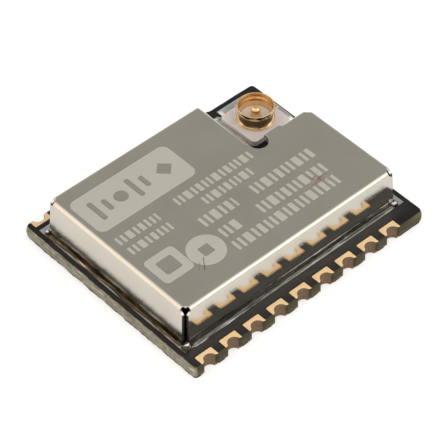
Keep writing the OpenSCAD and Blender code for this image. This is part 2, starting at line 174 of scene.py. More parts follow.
def sheet_material(name, etched=False):
    """Satin nickel-plated sheet: fine grain, drawn lines beside the folds, small scuffs, a red ink mark and a hairline scratch."""
    m = Mat(name, rough=0.2, metal=1.0)
    grain = m.noise(16, 3, 0.6)
    cloud = m.noise(0.45, 2, 0.5)
    lines = m.noise(6, 3, 0.6, stretch=(0.05, 3.0, 3.0))
    side = m.noise(5, 3, 0.6, stretch=(2.6, 0.09, 2.2))
    base = m.ramp(cloud, (0.3, SHEET_A), (0.7, SHEET_B))
    base = m.mix(m.range(grain, 0.2, 0.8), m.mix(1.0, base, (0.93, 0.93, 0.93), "MULTIPLY"), base)
    x, y, z = m.axis(0), m.axis(1), m.axis(2)
    # painted shade: darker, browner patches towards the foot of the walls, standing in for the dark solder and board
    # they mirror
    painted_low_shade = m.math("MULTIPLY", m.range(z, 1.5, 0.85), m.range(m.noise(1.3, 3, 0.6), 0.35, 0.75))
    base = m.mix(m.math("MULTIPLY", painted_low_shade, 0.55), base, (0.30, 0.25, 0.17))
    if etched:
        hatch = m.wave(3.2, "X", 0.0, 0.0, rot=(0, 0, 0.0))
        fine = m.noise(26, 2, 0.6)
        base = m.mix(m.math("MULTIPLY", m.range(hatch, 0.2, 0.8), 0.22), (0.84, 0.80, 0.73), (0.66, 0.625, 0.565))
        base = m.mix(m.range(fine, 0.3, 0.7), m.mix(1.0, base, (0.88, 0.88, 0.88), "MULTIPLY"), base)
    # red ink
    rx = m.math("SUBTRACT", x, 3.72)
    ry = m.math("SUBTRACT", y, -2.72)
    wob = m.noise(2.4, 2, 0.5)
    d1 = m.math("ABSOLUTE", m.math("SUBTRACT", m.math("ADD", m.math("MULTIPLY", rx, 1.25), ry), m.math("MULTIPLY", m.math("SUBTRACT", wob, 0.5), 1.3)))
    d2 = m.math("ABSOLUTE", m.math("SUBTRACT", m.math("SUBTRACT", m.math("MULTIPLY", rx, 0.5), ry), m.math("MULTIPLY", m.math("SUBTRACT", m.noise(1.9, 2, 0.5, loc=(9, 3, 1)), 0.5), 1.6)))
    line = m.math("MAXIMUM", m.range(d1, 0.1, 0.02), m.range(d2, 0.085, 0.02))
    rr = m.math("ADD", m.math("MULTIPLY", rx, rx), m.math("MULTIPLY", ry, ry))
    ink = m.math("MULTIPLY", m.math("MULTIPLY", line, m.range(rr, 0.42, 0.12)), m.range(z, 2.9, 2.99))
    ink = m.math("MULTIPLY", ink, m.range(m.noise(9, 2, 0.6), 0.3, 0.6, 0.35, 0.9))
    base = m.mix(m.math("MULTIPLY", ink, 0.75), base, (0.42, 0.06, 0.07))
    # hairline scratch across the square emblem, and a short one beside it
    def hair(ax, ay, bx, by, w):
        dx, dy = bx - ax, by - ay
        L = math.hypot(dx, dy)
        dx, dy = dx / L, dy / L
        px, py = m.math("SUBTRACT", x, ax), m.math("SUBTRACT", y, ay)
        t = m.math("ADD", m.math("MULTIPLY", px, dx), m.math("MULTIPLY", py, dy))
        s = m.math("ABSOLUTE", m.math("SUBTRACT", m.math("MULTIPLY", px, dy), m.math("MULTIPLY", py, dx)))
        inside = m.math("MULTIPLY", m.range(t, -0.02, 0.08), m.range(t, L + 0.02, L - 0.15))
        return m.math("MULTIPLY", m.range(s, w, w * 0.25), inside)
    h = m.math("MAXIMUM", hair(-3.86, -2.75, -4.42, -3.5, 0.035), m.math("MULTIPLY", hair(-4.2, -2.9, -4.62, -3.3, 0.028), 0.6))
    h = m.math("MULTIPLY", h, m.range(z, 2.9, 2.99))
    base = m.mix(m.math("MULTIPLY", h, 0.8), base, (0.16, 0.14, 0.12))
    m.color(base)
    r0 = m.range(grain, 0.2, 0.8, *((0.42, 0.55) if etched else (0.15, 0.21)))
    r0 = m.math("SUBTRACT", r0, m.math("MULTIPLY", m.math("MULTIPLY", m.range(z, 2.8, 2.5), m.range(y, -4.2, -4.6)), 0.125))
    m.rough(m.math("ADD", r0, m.math("MULTIPLY", m.range(cloud, 0.3, 0.7), 0.02)))
    m.bump(grain, 0.5 if etched else 0.22, 0.004)
    fold = m.math("MAXIMUM", m.range(y, -4.15, -4.55), m.range(z, 2.95, 2.75))
    m.bump(m.math("MULTIPLY", lines, fold), 0.30, 0.008)
    m.bump(m.math("MULTIPLY", side, m.range(x, -6.35, -6.7)), 0.12, 0.008)
    m.bump(m.noise(0.8, 2, 0.5), 0.10, 0.05)
    if etched:
        m.bump(hatch, 0.35, 0.01)
    return m.m


SHEET_A, SHEET_B = (0.585, 0.552, 0.482), (0.625, 0.592, 0.522)


def gold_land(name):
    m = Mat(name, rough=0.42, metal=0.3)
    n1, n2 = m.noise(3.5, 3, 0.6), m.noise(22, 3, 0.6)
    base = m.ramp(n1, (0.3, (1.0, 0.69, 0.385)), (0.7, (1.0, 0.75, 0.45)))
    m.color(m.mix(m.range(n2, 0.25, 0.7), m.mix(1.0, base, (0.9, 0.88, 0.85), "MULTIPLY"), base))
    m.rough(m.range(n2, 0.2, 0.8, 0.38, 0.55))
    m.bump(n2, 0.25, 0.004)
    m.bump(n1, 0.15, 0.01)
    return m.m


def barrel_material(name):
    m = Mat(name, rough=0.5, metal=0.35)
    n1 = m.noise(7, 4, 0.6)
    drill = m.noise(5, 3, 0.6, stretch=(1, 1, 6))
    # dark brown wall colour: painted shade inside the half-holes
    m.color(m.ramp(n1, (0.25, (0.125, 0.078, 0.040)), (0.75, (0.215, 0.140, 0.078))))
    m.rough(m.range(drill, 0.2, 0.8, 0.42, 0.62))
    m.bump(drill, 0.4, 0.01)
    m.bump(n1, 0.3, 0.006)
    return m.m


def mask_material(name):
    """Gloss black solder mask, slightly orange-peeled, with dust and flux haze."""
    m = Mat(name, rough=0.25)
    n1, peel, dust = m.noise(1.1, 3, 0.55), m.noise(5.5, 2, 0.5), m.noise(30, 2, 0.6)
    base = m.ramp(n1, (0.3, (0.005, 0.0048, 0.0052)), (0.75, (0.010, 0.009, 0.009)))
    haze = m.math("MULTIPLY", m.range(m.axis(1), -6.0, -5.3), m.range(m.axis(1), -4.7, -5.3))
    base = m.mix(m.math("MULTIPLY", haze, m.range(m.noise(2.5, 3, 0.6, stretch=(0.3, 1, 1)), 0.3, 0.8, 0.2, 0.7)), base, (0.050, 0.040, 0.038))
    m.color(m.mix(m.range(dust, 0.66, 0.75, 0.0, 0.10), base, (0.10, 0.095, 0.085)))
    m.b.inputs["Specular IOR Level"].default_value = 0.34
    m.rough(m.range(n1, 0.2, 0.8, 0.2, 0.34))
    m.bump(peel, 0.12, 0.012)
    m.bump(dust, 0.08, 0.003)
    return m.m


def laminate_material(name):
    """Routed glass-epoxy edge: olive resin with layered fibre, pale and frayed on the sawn left edge."""
    m = Mat(name, rough=0.6)
    x, z = m.axis(0), m.axis(2)
    layers = m.noise(3.0, 4, 0.65, stretch=(0.35, 0.35, 7.0))
    fleck = m.noise(9, 4, 0.65, stretch=(0.55, 0.55, 2.2))
    mott = m.noise(2.3, 3, 0.6, stretch=(1, 0.6, 1.6))
    olive = m.ramp(layers, (0.25, (0.022, 0.017, 0.006)), (0.55, (0.052, 0.041, 0.015)), (0.8, (0.105, 0.084, 0.036)))
    olive = m.mix(m.math("MULTIPLY", m.range(x, 6.3, 7.3), m.range(z, 0.3, 0.75)), olive, (0.125, 0.10, 0.035))
    beige = m.ramp(fleck, (0.30, (0.10, 0.088, 0.055)), (0.5, (0.23, 0.21, 0.15)), (0.70, (0.38, 0.355, 0.27)))
    beige = m.mix(m.range(mott, 0.42, 0.72, 0.0, 0.75), beige, (0.115, 0.10, 0.066))
    beige = m.mix(m.range(m.noise(5.0, 3, 0.6, stretch=(1, 0.22, 2.6), loc=(3, 7, 2)), 0.60, 0.68, 0.0, 0.75), beige, (0.56, 0.54, 0.44))
    beige = m.mix(m.range(m.noise(4.4, 3, 0.6, stretch=(1, 0.2, 3.0), loc=(8, 1, 5)), 0.60, 0.68, 0.0, 0.8), beige, (0.045, 0.04, 0.025))
    m.color(m.mix(m.range(x, -7.34, -7.45), olive, beige))
    m.b.inputs["Specular IOR Level"].default_value = 0.25
    m.rough(m.range(fleck, 0.2, 0.8, 0.42, 0.72))
    m.bump(layers, 0.45, 0.02)
    m.bump(fleck, 0.5, 0.018)
    return m.m


def solder_material(name, painted_reflection=False):
    """Reflowed solder. The run round the shield is streaked along its length and browned by flux on the left; its dark
    base is a painted reflection of the dark board and wall, and its pale streaks and pale lump tops are painted
    highlights.
    """
    m = Mat(name, rough=0.25, metal=1.0)
    n1, fine = m.noise(2.2, 4, 0.6), m.noise(18, 3, 0.6)
    along = m.noise(6, 4, 0.65, stretch=(0.10, 1.6, 1.6))
    across = m.noise(6, 4, 0.65, stretch=(1.6, 0.10, 1.6))
    x, y, z = m.axis(0), m.axis(1), m.axis(2)
    if painted_reflection:
        left = m.range(x, -6.84, -6.88)
        streak = m.mix(left, along, across)
        # dark base: painted reflection of the dark board and wall; pale streak band: painted highlight
        base = m.ramp(streak, (0.34, (0.035, 0.032, 0.030)), (0.54, (0.12, 0.115, 0.11)), (0.70, (0.55, 0.54, 0.52)))
        brown = m.ramp(streak, (0.34, (0.018, 0.014, 0.008)), (0.55, (0.085, 0.066, 0.038)), (0.70, (0.42, 0.38, 0.30)))
        base = m.mix(left, base, brown)
        # pale tops of the corner lumps: painted highlight
        top_painted_highlight = m.range(z, 0.93, 0.99)
        m.color(m.mix(top_painted_highlight, base, (0.72, 0.71, 0.69)))
        m.rough(m.range(streak, 0.2, 0.8, 0.20, 0.34))
        m.bump(streak, 0.7, 0.03)
    else:
        m.color(m.ramp(n1, (0.25, (0.44, 0.45, 0.44)), (0.75, (0.64, 0.65, 0.65))))
        m.rough(m.range(n1, 0.2, 0.8, 0.24, 0.44))
        m.bump(along, 0.15, 0.02)
    m.bump(fine, 0.2, 0.008)
    return m.m


def connector_gold(name):
    m = Mat(name, rough=0.14, metal=1.0)
    n1, turn, fine = m.noise(2.5, 3, 0.6), m.noise(3.5, 3, 0.6, stretch=(0.3, 0.3, 5)), m.noise(20, 2, 0.6)
    base = m.ramp(n1, (0.3, (0.78, 0.53, 0.27)), (0.7, (0.86, 0.62, 0.35)))
    # painted reflection: the waist under the plug's rim is darkened where it mirrors dark surroundings
    x, y, z = (m.math("SUBTRACT", m.axis(i), c) for i, c in ((0, CX), (1, CY), (2, 0.8)))
    out = m.range(m.math("SQRT", m.math("ADD", m.math("MULTIPLY", x, x), m.math("MULTIPLY", y, y))), 0.835, 0.85)
    waist_painted_reflection = m.math("MULTIPLY", m.math("MULTIPLY", m.range(z, 0.475, 0.56), m.range(z, 0.99, 0.93)), out)
    m.color(m.mix(m.math("MULTIPLY", waist_painted_reflection, m.range(n1, 0.1, 0.9, 0.97, 0.88)), base, (0.045, 0.028, 0.008)))
    m.rough(m.range(fine, 0.2, 0.8, 0.10, 0.2))
    m.bump(turn, 0.12, 0.008)
    m.bump(fine, 0.08, 0.003)
    return m.m


def moulding_material(name):
    m = Mat(name, rough=0.5)
    n1, n2 = m.noise(2.4, 3, 0.6), m.noise(16, 3, 0.6)
    base = m.ramp(n1, (0.3, (0.73, 0.655, 0.63)), (0.7, (0.80, 0.735, 0.71)))
    m.color(m.mix(m.range(n2, 0.6, 0.75, 0.0, 0.2), base, (0.60, 0.54, 0.50)))
    m.b.inputs["Subsurface Weight"].default_value = 0.12
    m.b.inputs["Subsurface Radius"].default_value = (0.0003, 0.00022, 0.0002)
    m.rough(m.range(n2, 0.2, 0.8, 0.42, 0.6))
    m.bump(n2, 0.16, 0.006)
    return m.m


def speckled(name, a, b, scale=8, rough=(0.4, 0.6), metal=0.0, bump=0.2, fleck=None):
    """A fine two-tone grain, for the parts under the shield."""
    m = Mat(name, metal=metal)
    n1, n2 = m.noise(scale * 0.35, 3, 0.6), m.noise(scale * 2.5, 3, 0.6)
    base = m.ramp(n1, (0.3, a), (0.7, b))
    if fleck:
        base = m.mix(m.range(n2, 0.62, 0.7, 0.0, 0.7), base, fleck)
    m.color(base)
    m.rough(m.range(n2, 0.2, 0.8, *rough))
    m.bump(n2, bump, 0.006)
    m.bump(n1, bump * 0.7, 0.012)
    return m.m


SHEETM = sheet_material("nickel_sheet")
ETCH = sheet_material("laser_marked_sheet", True)
# near-black wall ends beside the corner slits: painted shade in the slits
SLIT_SHADE = speckled("wall_end_painted_shade", (0.020, 0.018, 0.016), (0.045, 0.041, 0.036), 12, (0.45, 0.65), 0.6, 0.4)
LAND = gold_land("immersion_gold")
BARREL = barrel_material("plated_barrel")
MASK = mask_material("black_mask")
LAM = laminate_material("glass_epoxy")
SOLDER = solder_material("reflowed_solder")
RUN = solder_material("solder_run_painted_reflection", True)
CGOLD = connector_gold("connector_gold_plate")
MOULD = moulding_material("pale_moulding")
TIN = speckled("tin_plate_grain", (0.60, 0.59, 0.57), (0.74, 0.73, 0.70), 9, (0.22, 0.38), 1.0, 0.25)
EPOXY = speckled("moulded_epoxy", (0.014, 0.014, 0.015), (0.024, 0.024, 0.026), 9, (0.45, 0.62), 0.0, 0.35, (0.05, 0.05, 0.05))
DARKC = speckled("dark_fired_ceramic", (0.022, 0.020, 0.021), (0.040, 0.036, 0.037), 8, (0.35, 0.55), 0.0, 0.3)
LIDM = speckled("seam_welded_lid", (0.60, 0.57, 0.50), (0.70, 0.67, 0.60), 7, (0.2, 0.34), 1.0, 0.2)
TANC = speckled("tan_fired_ceramic", (0.30, 0.20, 0.125), (0.42, 0.29, 0.19), 10, (0.3, 0.45), 0.0, 0.25, (0.5, 0.38, 0.27))
COILC = speckled("blue_fired_ceramic", (0.20, 0.27, 0.36), (0.30, 0.38, 0.47), 10, (0.28, 0.42), 0.0, 0.25, (0.42, 0.48, 0.55))


# ---------------------------------------------------------------- mesh helpers
def make(name, V, F, mats, nodes=(), face_mat=None, normals=None, sharp=None):
    me = bpy.data.meshes.new(name)
    me.from_pydata([tuple(v) for v in np.asarray(V, float) * MM], [], [tuple(int(i) for i in f) for f in F])
    for mt in mats:
        me.materials.append(mt)
    if face_mat is not None:
        me.polygons.foreach_set("material_index", np.asarray(face_mat, np.int32))
    me.polygons.foreach_set("use_smooth", [True] * len(me.polygons))
    me.update()
    if normals is not None:
        me.normals_split_custom_set([tuple(n) for n in normals])
    elif sharp:
        me.set_sharp_from_angle(angle=math.radians(sharp))
    ob = bpy.data.objects.new(name, me)
    bpy.context.scene.collection.objects.link(ob)
    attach(ob, "root")
    if nodes:
        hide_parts(*nodes)
    return ob


def inside(P, poly):
    """Even-odd test of points P (n,2) against a polygon."""
    x, y = P[:, 0], P[:, 1]
    r = np.zeros(len(P), bool)
    q = np.asarray(poly, float)
    for (x0, y0), (x1, y1) in zip(q, np.roll(q, -1, 0)):
        if y0 == y1:
            continue
        c = ((y0 > y) != (y1 > y)) & (x < (x1 - x0) * (y - y0) / (y1 - y0) + x0)
        r ^= c
    return r


def near(P, poly, d):
    """Points within d of a polygon's outline."""
    q = np.asarray(poly, float)
    r = np.zeros(len(P), bool)
    for a, b in zip(q, np.roll(q, -1, 0)):
        ab = b - a
        L = max(float(ab @ ab), 1e-12)
        t = np.clip(((P - a) @ ab) / L, 0, 1)
        r |= (((P - a) - t[:, None] * ab) ** 2).sum(1) < d * d
    return r


def rect(x0, y0, x1, y1, r=0.0, n=5):
    if r <= 0:
        return [(x0, y0), (x1, y0), (x1, y1), (x0, y1)]
    out = []
    for cx, cy, a in ((x1 - r, y0 + r, -90), (x1 - r, y1 - r, 0), (x0 + r, y1 - r, 90), (x0 + r, y0 + r, 180)):
        for k in range(n + 1):
            t = math.radians(a + 90 * k / n)
            out.append((cx + r * math.cos(t), cy + r * math.sin(t)))
    return out


def circle(x, y, r, n=40):
    return [(x + r * math.cos(TAU * k / n), y + r * math.sin(TAU * k / n)) for k in range(n)]


def flat(z, up=1):
    def S(U, V, RU=None, RV=None):
        P = np.stack([U, V, np.full_like(U, z)], 1)
        return P, np.tile([0.0, 0.0, float(up)], (len(U), 1))
    return S


def plate(adds, subs=(), clips=(), S=None, T=0.1, b=0.01, lines=(), pts=()):
    """A sheet over the plan adds - subs, inside every clip, laid on the surface S, T thick, with rounded edges.
    Returns vertices, faces and one normal per face corner."""
    verts, edges = [], []
    def loop(poly, closed=True):
        i0 = len(verts)
        verts.extend(Vector(p) for p in poly)
        n = len(poly)
        edges.extend((i0 + k, i0 + (k + 1) % n) for k in range(n if closed else n - 1))
    for p in list(adds) + list(subs) + list(clips):
        loop(p)
    for l in lines:
        loop(l, False)
    if len(pts):
        verts.extend(Vector(p) for p in pts)
    r = delaunay_2d_cdt(verts, edges, [], 0, 1e-6)
    P2 = np.array([(v.x, v.y) for v in r[0]], float)
    F = np.array(r[2], int)
    a, bb, c = P2[F[:, 0]], P2[F[:, 1]], P2[F[:, 2]]
    area = (bb[:, 0] - a[:, 0]) * (c[:, 1] - a[:, 1]) - (c[:, 0] - a[:, 0]) * (bb[:, 1] - a[:, 1])
    F[area < 0] = F[area < 0][:, ::-1]
    cen = P2[F].mean(1)
    keep = np.zeros(len(F), bool)
    for p in adds:
        keep |= inside(cen, p)
    for p in subs:
        keep &= ~inside(cen, p)
    for p in clips:
        keep &= inside(cen, p)
    keep &= np.abs(area) > 1e-10
    F = F[keep]
    used = np.unique(F)
    idx = -np.ones(len(P2), int)
    idx[used] = np.arange(len(used))
    P2, F = P2[used], idx[F]
    n = len(P2)
    E = {}
    for f in F:
        for k in range(3):
            E[(int(f[k]), int(f[(k + 1) % 3]))] = 1
    rim = [e for e in E if (e[1], e[0]) not in E]
    nxt, prv = {}, {}
    for i, j in rim:
        nxt.setdefault(i, []).append(j)
        prv.setdefault(j, []).append(i)
    def out(i, j):
        d = P2[j] - P2[i]
        d /= max(np.linalg.norm(d), 1e-12)
        return np.array([d[1], -d[0]])
    # one rim vertex for each corner the outline passes through
    col, order = {}, []
    for i in nxt:
        ins, outs = prv[i], nxt[i]
        for q, s in zip(ins, outs):
            n1, n2 = out(q, i), out(i, s)
            m = (n1 + n2) / max(1 + float(n1 @ n2), 0.35)
            col[(i, "in", q)] = col[(i, "out", s)] = len(order)
            order.append((i, m, n1, n2, q, s))
    B = len(order)
    bi = np.array([o[0] for o in order])
    mv = np.array([o[1] for o in order])
    P2i = P2.copy()
    P2i[bi] = P2[bi] - mv * b
    cols = [(b, 0), (0.293 * b, 0.293 * b), (0, b), (0, T - b), (0.293 * b, T - 0.293 * b), (b, T)]
    def at(U, RU, depth):
        P, N = S(U[:, 0], U[:, 1], RU[:, 0], RU[:, 1])
        return P - N * depth, N
    top, Nt = at(P2i, P2i, 0)
    bot, _ = at(P2i, P2i, T)
    V = [top]
    mids = []
    for d, t in cols[1:5]:
        U = P2[bi] - mv * d
        mids.append(at(U, P2i[bi], t)[0])
    V += mids + [bot]
    V = np.concatenate(V)
    off_mid = [n + B * k for k in range(4)]
    off_bot = n + 4 * B
    h = 1e-3
    U0 = P2i[bi]
    Tu = (at(U0 + [h, 0], U0, 0)[0] - at(U0 - [h, 0], U0, 0)[0]) / (2 * h)
    Tv = (at(U0 + [0, h], U0, 0)[0] - at(U0 - [0, h], U0, 0)[0]) / (2 * h)
    Nb = Nt[bi]
    faces, normals = [], []
    for f in F:
        faces.append(tuple(f))
        normals += [Nt[f[0]], Nt[f[1]], Nt[f[2]]]
    for f in F:
        faces.append((off_bot + f[0], off_bot + f[2], off_bot + f[1]))
        normals += [-Nt[f[0]], -Nt[f[2]], -Nt[f[1]]]
    s2 = math.sqrt(0.5)
    def cell(k, o):
        i = order[o][0]
        return i if k == 0 else (off_bot + i if k == 5 else off_mid[k - 1] + o)
    wN = [1, s2, 0, 0, -s2, -1]
    wO = [0, s2, 1, 1, s2, 0]
    for i, j in rim:
        oi, oj = col[(i, "out", j)], col[(j, "in", i)]
        n0 = out(i, j)
        def dirn(o):
            n1, n2 = order[o][2], order[o][3]
            g = n1 + n2 if float(n1 @ n2) > 0.62 else n0
            g = g / np.linalg.norm(g)
            v = Tu[o] * g[0] + Tv[o] * g[1]
            return v / max(np.linalg.norm(v), 1e-9)
        di, dj = dirn(oi), dirn(oj)
        for k in range(5):
            faces.append((cell(k, oj), cell(k, oi), cell(k + 1, oi), cell(k + 1, oj)))
            for o, d, kk in ((oj, dj, k), (oi, di, k), (oi, di, k + 1), (oj, dj, k + 1)):
                v = Nb[o] * wN[kk] + d * wO[kk]
                normals.append(v)
    return V, faces, normals


class Parts:
    """Gathers several pieces of mesh into one object."""

    def __init__(self):
        self.V, self.F, self.N, self.M, self.n = [], [], [], [], 0

    def add(self, V, F, N, mat=0):
        V = np.asarray(V, float)
        self.V.append(V)
        self.F += [tuple(int(i) + self.n for i in f) for f in F]
        self.N += list(N)
        self.M += [mat] * len(F)
        self.n += len(V)
        return self

    def make(self, name, mats, slot, nodes=()):
        return make(name, np.concatenate(self.V), self.F, mats, nodes, self.M, self.N)


def smooth_normals(V, F, angle=40):
    """Corner normals, smooth where faces meet at less than the angle."""
    V = np.asarray(V, float)
    fn = []
    for f in F:
        p = V[list(f)]
        c = np.zeros(3)
        for k in range(1, len(f) - 1):
            c += np.cross(p[k] - p[0], p[k + 1] - p[0])
        fn.append(c)
    fn = np.array(fn)
    L = np.maximum(np.linalg.norm(fn, axis=1, keepdims=True), 1e-15)
    un = fn / L
    at = {}
    for i, f in enumerate(F):
        for v in f:
            at.setdefault(int(v), []).append(i)
    ca = math.cos(math.radians(angle))
    N = []
    for i, f in enumerate(F):
        for v in f:
            js = at[int(v)]
            s = sum((un[j] * math.sqrt(float(L[j, 0])) for j in js if float(un[j] @ un[i]) > ca), np.zeros(3))
            l = np.linalg.norm(s)
            N.append(s / l if l > 1e-12 else un[i])
    return N


def lathe(profile, n=96, cx=CX, cy=CY, closed=True):
    """Turns a closed (r, z) profile about the connector's axis. The profile runs anticlockwise seen with r right, z up."""
    V, F = [], []
    m = len(profile)
    for k in range(n):
        a = TAU * k / n
        for r, z in profile:
            V.append((cx + r * math.cos(a), cy + r * math.sin(a), z))
    for k in range(n):
        for j in range(m if closed else m - 1):
            a, b = k * m + j, k * m + (j + 1) % m
            c, d = ((k + 1) % n) * m + (j + 1) % m, ((k + 1) % n) * m + j
            F.append((a, d, c, b))
    return V, F


def arc(cx, cy, r, a0, a1, n=6):
    return [(cx + r * math.cos(math.radians(a0 + (a1 - a0) * k / n)), cy + r * math.sin(math.radians(a0 + (a1 - a0) * k / n))) for k in range(n + 1)]


# ---------------------------------------------------------------- board outline
def board_outline(r, corner=0.16, soften=2.9, inset=0.0):
    """Plan of the board with half-holes of radius r, resampled evenly and softened where the drill broke out."""
    pts = []
    def line(a, b):
        n = max(1, int(math.hypot(b[0] - a[0], b[1] - a[1]) / 0.03))
        pts.extend((a[0] + (b[0] - a[0]) * k / n, a[1] + (b[1] - a[1]) * k / n) for k in range(n))
    half = math.sqrt(r * r - HOLE_OUT * HOLE_OUT)
    ang = math.atan2(HOLE_OUT, half)
    def cornr(cx, cy, a0):
        for k in range(9):
            t = math.radians(a0 + 90 * k / 8)
            pts.append((cx + corner * math.cos(t), cy + corner * math.sin(t)))
    # front edge, left to right
    cornr(-HL + corner, -HW + corner, 180)
    p = (-HL + corner, -HW)
    for x in FX:
        q = (x - half, -HW)
        if q[0] > -HL + 0.02:
            line(p, q) if q[0] > p[0] else None
        for k in range(31):
            t = math.pi - ang - (math.pi - 2 * ang) * k / 30
            pts.append((x + r * math.cos(t), -HW - HOLE_OUT + r * math.sin(t)))
        p = (x + half, -HW)
    line(p, (HL - corner, -HW))
    cornr(HL - corner, -HW + corner, -90)
    line((HL, -HW + corner), (HL, BACK_Y - corner))
    cornr(HL - corner, BACK_Y - corner, 0)
    line((HL - corner, BACK_Y), (PLAIN_X + 0.05, BACK_Y))
    line((PLAIN_X + 0.05, BACK_Y), (PLAIN_X, HW))
    p = (PLAIN_X, HW)
    for x in reversed(BX):
        q = (x + half, HW)
        line(p, q)
        for k in range(31):
            t = -ang - (math.pi - 2 * ang) * k / 30
            pts.append((x + r * math.cos(t), HW + HOLE_OUT + r * math.sin(t)))
        p = (x - half, HW)
    if p[0] > -HL + corner:
        line(p, (-HL + corner, HW))
    cornr(-HL + corner, HW - corner, 90)
    line((-HL, HW - corner), (-HL, -HW + corner))
    P = np.array(pts)
    # even spacing
    Q = np.vstack([P, P[:1]])
    d = np.r_[0, np.cumsum(np.hypot(*np.diff(Q, axis=0).T))]
    L = d[-1]
    n = int(L / 0.032)
    s = np.linspace(0, L, n, endpoint=False)
    P = np.stack([np.interp(s, d, Q[:, 0]), np.interp(s, d, Q[:, 1])], 1)
    if soften:
        k = np.arange(-8, 9)
        w = np.exp(-(k / soften) ** 2 / 2)
        w /= w.sum()
        P = sum(wi * np.roll(P, -int(ki), 0) for wi, ki in zip(w, k))
    return P


def outline_normals(P):
    t = np.roll(P, -1, 0) - np.roll(P, 1, 0)
    t /= np.linalg.norm(t, axis=1, keepdims=True)
    return np.stack([t[:, 1], -t[:, 0]], 1)


OUT45 = board_outline(HOLE_R + 0.03)
N45 = outline_normals(OUT45)
OUT42 = board_outline(HOLE_R + 0.012)


def hole_distance(P):
    d = np.full(len(P), 9.0)
    for x in FX:
        d = np.minimum(d, np.hypot(P[:, 0] - x, P[:, 1] + HW + HOLE_OUT))
    for x in BX:
        d = np.minimum(d, np.hypot(P[:, 0] - x, P[:, 1] - HW - HOLE_OUT))
    return d


def fbm(x, y, z, octaves=3):
    return noise.fractal(Vector((x, y, z)), 1.0, 2.0, octaves)


# laminate: side wall swelled between the two outer faces, pads' half-holes left plain
def laminate():
    w = np.clip((hole_distance(OUT45) - HOLE_R - 0.04) / 0.1, 0, 1)
    edge = np.clip((-OUT45[:, 0] - 7.35) / 0.12, 0, 1)
    levels = [(0.04, -0.075), (0.052, -0.045), (0.09, -0.012), (0.16, 0.020), (0.26, 0.044), (0.38, 0.055), (0.48, 0.054), (0.59, 0.040), (0.67, 0.020), (0.725, -0.004), (0.748, -0.018), (0.76, -0.04)]
    n, V = len(OUT45), []
    for z, o in levels:
        mid = 1 - abs(z - 0.4) / 0.4
        for i in range(n):
            x, y = OUT45[i]
            j = (fbm(x * 1.7, y * 1.7, z * 6, 4) * 0.016 + fbm(x * 6, y * 6, z * 14 + 5, 2) * 0.007) * (0.6 + 1.5 * edge[i]) * w[i] * min(1, 0.35 + mid)
            oo = o * (w[i] if o > 0 else 1.0) + j
            oo = oo if w[i] > 0 else min(o, 0)
            V.append((x + N45[i, 0] * oo, y + N45[i, 1] * oo, z))
    F = []
    for k in range(len(levels) - 1):
        for i in range(n):
            j = (i + 1) % n
            F.append((k * n + i, k * n + j, (k + 1) * n + j, (k + 1) * n + i))
    r = delaunay_2d_cdt([Vector(V[i][:2]) for i in range(n)], [(i, (i + 1) % n) for i in range(n)], [], 1, 1e-7)
    for off, up in ((0, False), ((len(levels) - 1) * n, True)):
        top = [Vector(V[off + i][:2]) for i in range(n)]
        r = delaunay_2d_cdt(top, [(i, (i + 1) % n) for i in range(n)], [], 1, 1e-7)
        cen = np.array([sum((r[0][i] for i in f), Vector((0, 0))) / 3 for f in r[2]], float)
        keep = inside(cen, np.array([(v.x, v.y) for v in top]))
        back = {}
        for new, olds in enumerate(r[3]):
            back[new] = olds[0] if olds else None
        for f, k in zip(r[2], keep):
            if not k or any(back[i] is None for i in f):
                continue
            a, b, c = (r[0][i] for i in f)
            ccw = (b.x - a.x) * (c.y - a.y) - (c.x - a.x) * (b.y - a.y) > 0
            g = [off + back[i] for i in f]
            if ccw != up:
                g = g[::-1]
            F.append(tuple(g))
    make("board_laminate", V, F, [LAM], ["circuit_board"], None, smooth_normals(V, F, 50))


laminate()


# ---------------------------------------------------------------- mask openings
def turned(x0, y0, x1, y1, cx, cy, a):
    c, s = round(math.cos(math.radians(a))), round(math.sin(math.radians(a)))
    p = [(x0, y0), (x1, y0), (x1, y1), (x0, y1)]
    q = [(cx + c * x - s * y, cy + s * x + c * y) for x, y in p]
    xs, ys = [v[0] for v in q], [v[1] for v in q]
    return rect(min(xs), min(ys), max(xs), max(ys))


CAPS = [(-5.95, 3.1, 90), (-5.95, 1.6, 90), (-5.95, 0.1, 90), (-5.95, -1.4, 90), (-1.9, 4.2, 0), (-3.5, 4.2, 0),
        (0.6, 2.6, 90), (0.6, 1.1, 90), (0.6, -0.4, 90), (4.9, -2.7, 90), (4.9, -1.2, 90), (2.1, -3.9, 0)]
RESS = [(-5.2, 4.2, 0), (-1.35, -2.5, 0), (-1.35, -3.4, 0), (0.15, -2.5, 0), (0.15, -3.4, 0), (3.7, -3.9, 0)]
COILS = [(1.5, 2.6, 90), (1.5, 1.0, 90), (3.2, 0.45, 0), (5.9, -0.2, 90), (5.5, -3.9, 0)]
G = 0.04


def contacts(x, y, side, n, w, l, p):
    out = []
    for a in (0, 90, 180, 270):
        for i in range(n):
            u = (i - (n - 1) / 2) * p
            out.append(turned(u - w / 2, -side / 2, u + w / 2, -side / 2 + l, x, y, a))
    return out


